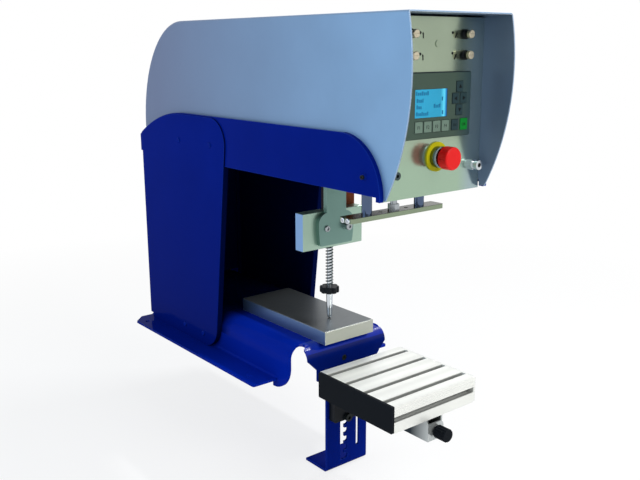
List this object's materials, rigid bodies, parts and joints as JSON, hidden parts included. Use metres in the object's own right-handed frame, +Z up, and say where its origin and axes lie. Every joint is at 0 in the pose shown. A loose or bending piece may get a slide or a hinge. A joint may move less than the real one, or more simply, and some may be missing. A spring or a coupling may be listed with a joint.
{
  "type": "pad printing machine",
  "caption": "Bench pad printing machine with a folded hood on side pans, a control panel, a sliding carriage with pad plate and sprung cup spindle, and a slotted table.",
  "frame": {"origin": "centre of the four bench bolts, at the height of the bench top", "axes": "+Z up from the bench, -Y towards the operator, +X to the operator's right"},
  "size_m": [0.284, 0.6991, 0.715],
  "materials": {
    "blue_paint": "gloss",
    "hood_paint": "satin",
    "brushed_panel": "brushed",
    "tool_steel": "ground",
    "aluminium": "machined",
    "chassis_aluminium": "satin",
    "steel": "satin",
    "chrome": "polished",
    "nickel": "knurled",
    "black_metal": "anodised",
    "black_plastic": "matt",
    "phenolic": "satin",
    "display_plastic": "matt",
    "display_blue": "gloss",
    "key_grey": "matt",
    "key_dark": "matt",
    "key_green": "matt",
    "red_plastic": "satin",
    "yellow_plastic": "matt"
  },
  "bodies": {
    "frame": {"base_sheet": "blue_paint", "cliche_plate": "tool_steel", "table_bracket": "blue_paint", "left_column": "blue_paint", "right_column": "blue_paint", "left_arm": "blue_paint", "right_arm": "blue_paint", "body_screws": "steel", "rear_panel": "blue_paint", "hood": "hood_paint", "front_panel": "brushed_panel", "display_housing": "display_plastic", "display_window": "display_blue", "estop_collar": "yellow_plastic", "estop_bezel": "chrome", "valve_collars": "black_metal", "panel_sockets": "chrome", "chassis_plates": "chassis_aluminium", "shaft_supports": "aluminium", "slide_shafts": "steel", "travel_cylinder": "black_metal"},
    "carriage": {"carriage_plate": "aluminium", "slide_bearings": "aluminium", "guide_bushes": "steel", "pad_cylinder": "aluminium", "arm_hanger": "aluminium", "cup_arm": "aluminium", "cup_block": "aluminium", "backing_plate": "phenolic", "arm_screws": "steel", "cup_spring": "steel", "travel_rod": "steel"},
    "pad": {"pad_plate": "aluminium", "guide_rods": "chrome", "pad_rod": "steel", "rod_nut": "steel"},
    "spindle": {"cup_spindle": "chrome"},
    "ring_nut": {"ring_nut": "black_metal"},
    "estop_button": {"estop_button": "red_plastic"},
    "carrier": {"table_carrier": "black_metal", "carrier_screws": "steel"},
    "table": {"table_profile": "aluminium", "end_caps": "black_plastic", "far_end_caps": "aluminium", "clamp_channel": "aluminium"},
    "clamp_knob": {"clamp_knob": "black_plastic"},
    "function_key_1": {"function_key_1": "key_grey"},
    "function_key_2": {"function_key_2": "key_grey"},
    "function_key_3": {"function_key_3": "key_grey"},
    "function_key_4": {"function_key_4": "key_grey"},
    "up_key": {"up_key": "key_dark"},
    "down_key": {"down_key": "key_dark"},
    "left_key": {"left_key": "key_dark"},
    "right_key": {"right_key": "key_dark"},
    "escape_key": {"escape_key": "key_dark"},
    "confirm_key": {"confirm_key": "key_green"},
    "valve_knob_1": {"valve_knob_1": "nickel"},
    "valve_knob_2": {"valve_knob_2": "nickel"},
    "valve_knob_3": {"valve_knob_3": "nickel"},
    "valve_knob_4": {"valve_knob_4": "nickel"}
  },
  "joints": [
    {"name": "carriage_slide", "type": "slide", "parent": "frame", "child": "carriage", "axis": [0, 1, 0], "range_m": [0, 0.144]},
    {"name": "pad_stroke", "type": "slide", "parent": "carriage", "child": "pad", "axis": [0, 0, 1], "range_m": [-0.11, 0]},
    {"name": "spindle_lift", "type": "slide", "parent": "carriage", "child": "spindle", "axis": [0, 0, 1], "range_m": [0, 0.03], "stiffness_N_per_m": 1000, "springref_m": -0.02, "deforming": ["cup_spring"]},
    {"name": "ring_nut_turn", "type": "hinge", "parent": "spindle", "child": "ring_nut", "pos_m": [0, -0.221, 0.136], "axis": [0, 0, 1], "continuous": true},
    {"name": "estop_push", "type": "slide", "parent": "frame", "child": "estop_button", "axis": [0, 1, 0], "range_m": [0, 0.0045], "stiffness_N_per_m": 1500, "springref_m": -0.004},
    {"name": "table_height", "type": "slide", "parent": "frame", "child": "carrier", "axis": [0, 0, 1], "range_m": [-0.06, 0]},
    {"name": "table_shift", "type": "slide", "parent": "carrier", "child": "table", "axis": [0, 1, 0], "range_m": [-0.01, 0.01]},
    {"name": "clamp_knob_turn", "type": "hinge", "parent": "table", "child": "clamp_knob", "pos_m": [0, -0.47, -0.019], "axis": [0, -1, 0], "continuous": true},
    {"name": "function_key_1_push", "type": "slide", "parent": "frame", "child": "function_key_1", "axis": [0, 1, 0], "range_m": [0, 0.0006], "stiffness_N_per_m": 700, "springref_m": -0.0006},
    {"name": "function_key_2_push", "type": "slide", "parent": "frame", "child": "function_key_2", "axis": [0, 1, 0], "range_m": [0, 0.0006], "stiffness_N_per_m": 700, "springref_m": -0.0006},
    {"name": "function_key_3_push", "type": "slide", "parent": "frame", "child": "function_key_3", "axis": [0, 1, 0], "range_m": [0, 0.0006], "stiffness_N_per_m": 700, "springref_m": -0.0006},
    {"name": "function_key_4_push", "type": "slide", "parent": "frame", "child": "function_key_4", "axis": [0, 1, 0], "range_m": [0, 0.0006], "stiffness_N_per_m": 700, "springref_m": -0.0006},
    {"name": "up_key_push", "type": "slide", "parent": "frame", "child": "up_key", "axis": [0, 1, 0], "range_m": [0, 0.0006], "stiffness_N_per_m": 700, "springref_m": -0.0006},
    {"name": "down_key_push", "type": "slide", "parent": "frame", "child": "down_key", "axis": [0, 1, 0], "range_m": [0, 0.0006], "stiffness_N_per_m": 700, "springref_m": -0.0006},
    {"name": "left_key_push", "type": "slide", "parent": "frame", "child": "left_key", "axis": [0, 1, 0], "range_m": [0, 0.0006], "stiffness_N_per_m": 700, "springref_m": -0.0006},
    {"name": "right_key_push", "type": "slide", "parent": "frame", "child": "right_key", "axis": [0, 1, 0], "range_m": [0, 0.0006], "stiffness_N_per_m": 700, "springref_m": -0.0006},
    {"name": "escape_key_push", "type": "slide", "parent": "frame", "child": "escape_key", "axis": [0, 1, 0], "range_m": [0, 0.0006], "stiffness_N_per_m": 700, "springref_m": -0.0006},
    {"name": "confirm_key_push", "type": "slide", "parent": "frame", "child": "confirm_key", "axis": [0, 1, 0], "range_m": [0, 0.0006], "stiffness_N_per_m": 700, "springref_m": -0.0006},
    {"name": "valve_knob_1_turn", "type": "hinge", "parent": "frame", "child": "valve_knob_1", "pos_m": [-0.0504, -0.4495, 0.5312], "axis": [0, -1, 0], "continuous": true},
    {"name": "valve_knob_2_turn", "type": "hinge", "parent": "frame", "child": "valve_knob_2", "pos_m": [0.053, -0.4495, 0.5312], "axis": [0, -1, 0], "continuous": true},
    {"name": "valve_knob_3_turn", "type": "hinge", "parent": "frame", "child": "valve_knob_3", "pos_m": [-0.0504, -0.4495, 0.5042], "axis": [0, -1, 0], "continuous": true},
    {"name": "valve_knob_4_turn", "type": "hinge", "parent": "frame", "child": "valve_knob_4", "pos_m": [0.053, -0.4495, 0.5042], "axis": [0, -1, 0], "continuous": true}
  ]
}
